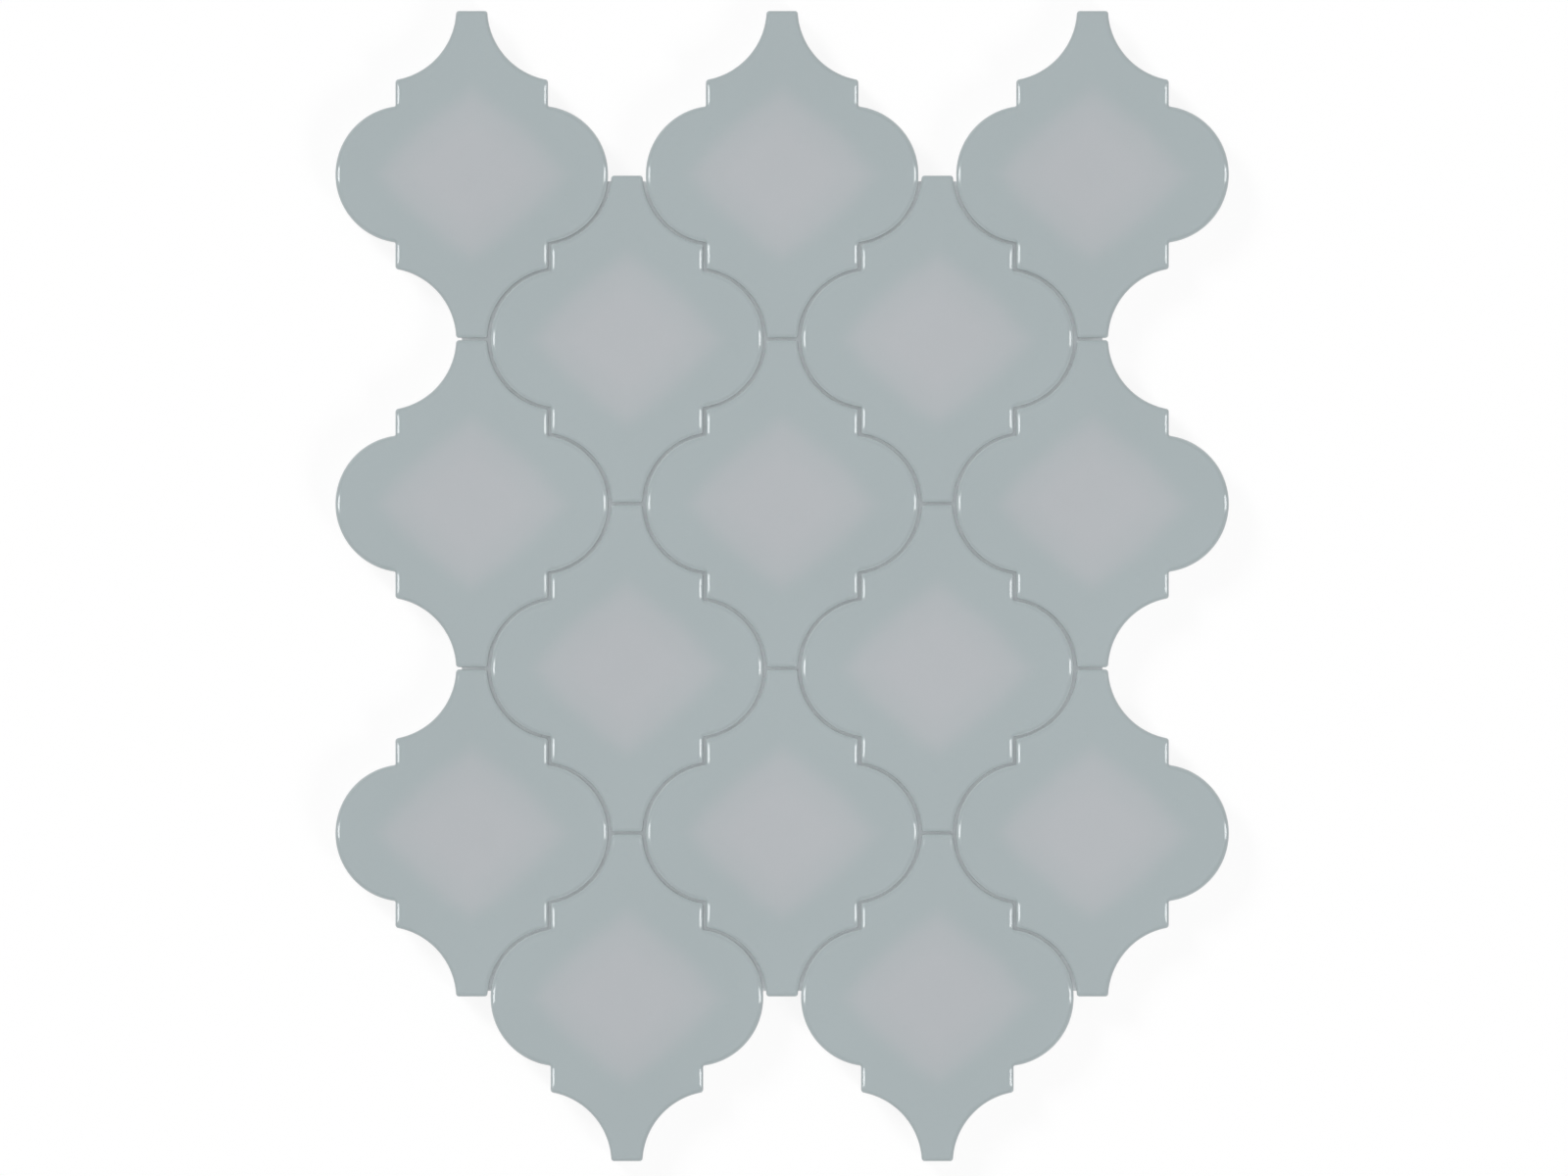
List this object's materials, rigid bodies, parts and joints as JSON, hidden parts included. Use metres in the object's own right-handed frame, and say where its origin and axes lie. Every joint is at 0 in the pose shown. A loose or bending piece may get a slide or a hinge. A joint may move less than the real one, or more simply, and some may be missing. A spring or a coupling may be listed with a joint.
{
  "type": "moroccan arabesque mosaic tile sheet",
  "caption": "Flat mosaic sheet of glossy pale grey lantern-shaped (moroccan arabesque) ceramic tiles, interlocked in staggered rows on a mesh backing.",
  "frame": {"origin": "middle of the sheet's outline, on the underside of the mesh backing", "axes": "+X along a row of tiles, +Y up the columns towards the end row with the most tiles, +Z out of the glazed faces"},
  "size_m": [0.2668, 0.3434, 0.0085],
  "materials": {
    "glaze": "smooth glossy pale grey glaze on a fired body, with an eased edge",
    "backing": "matt glass-fibre mesh soaked in pale grey adhesive"
  },
  "bodies": {
    "root": {"mesh_backing": "backing", "tile_row1_1": "glaze", "tile_row1_2": "glaze", "tile_row1_3": "glaze", "tile_row2_1": "glaze", "tile_row2_2": "glaze", "tile_row3_1": "glaze", "tile_row3_2": "glaze", "tile_row3_3": "glaze", "tile_row4_1": "glaze", "tile_row4_2": "glaze", "tile_row5_1": "glaze", "tile_row5_2": "glaze", "tile_row5_3": "glaze", "tile_row6_1": "glaze", "tile_row6_2": "glaze"}
  },
  "joints": []
}
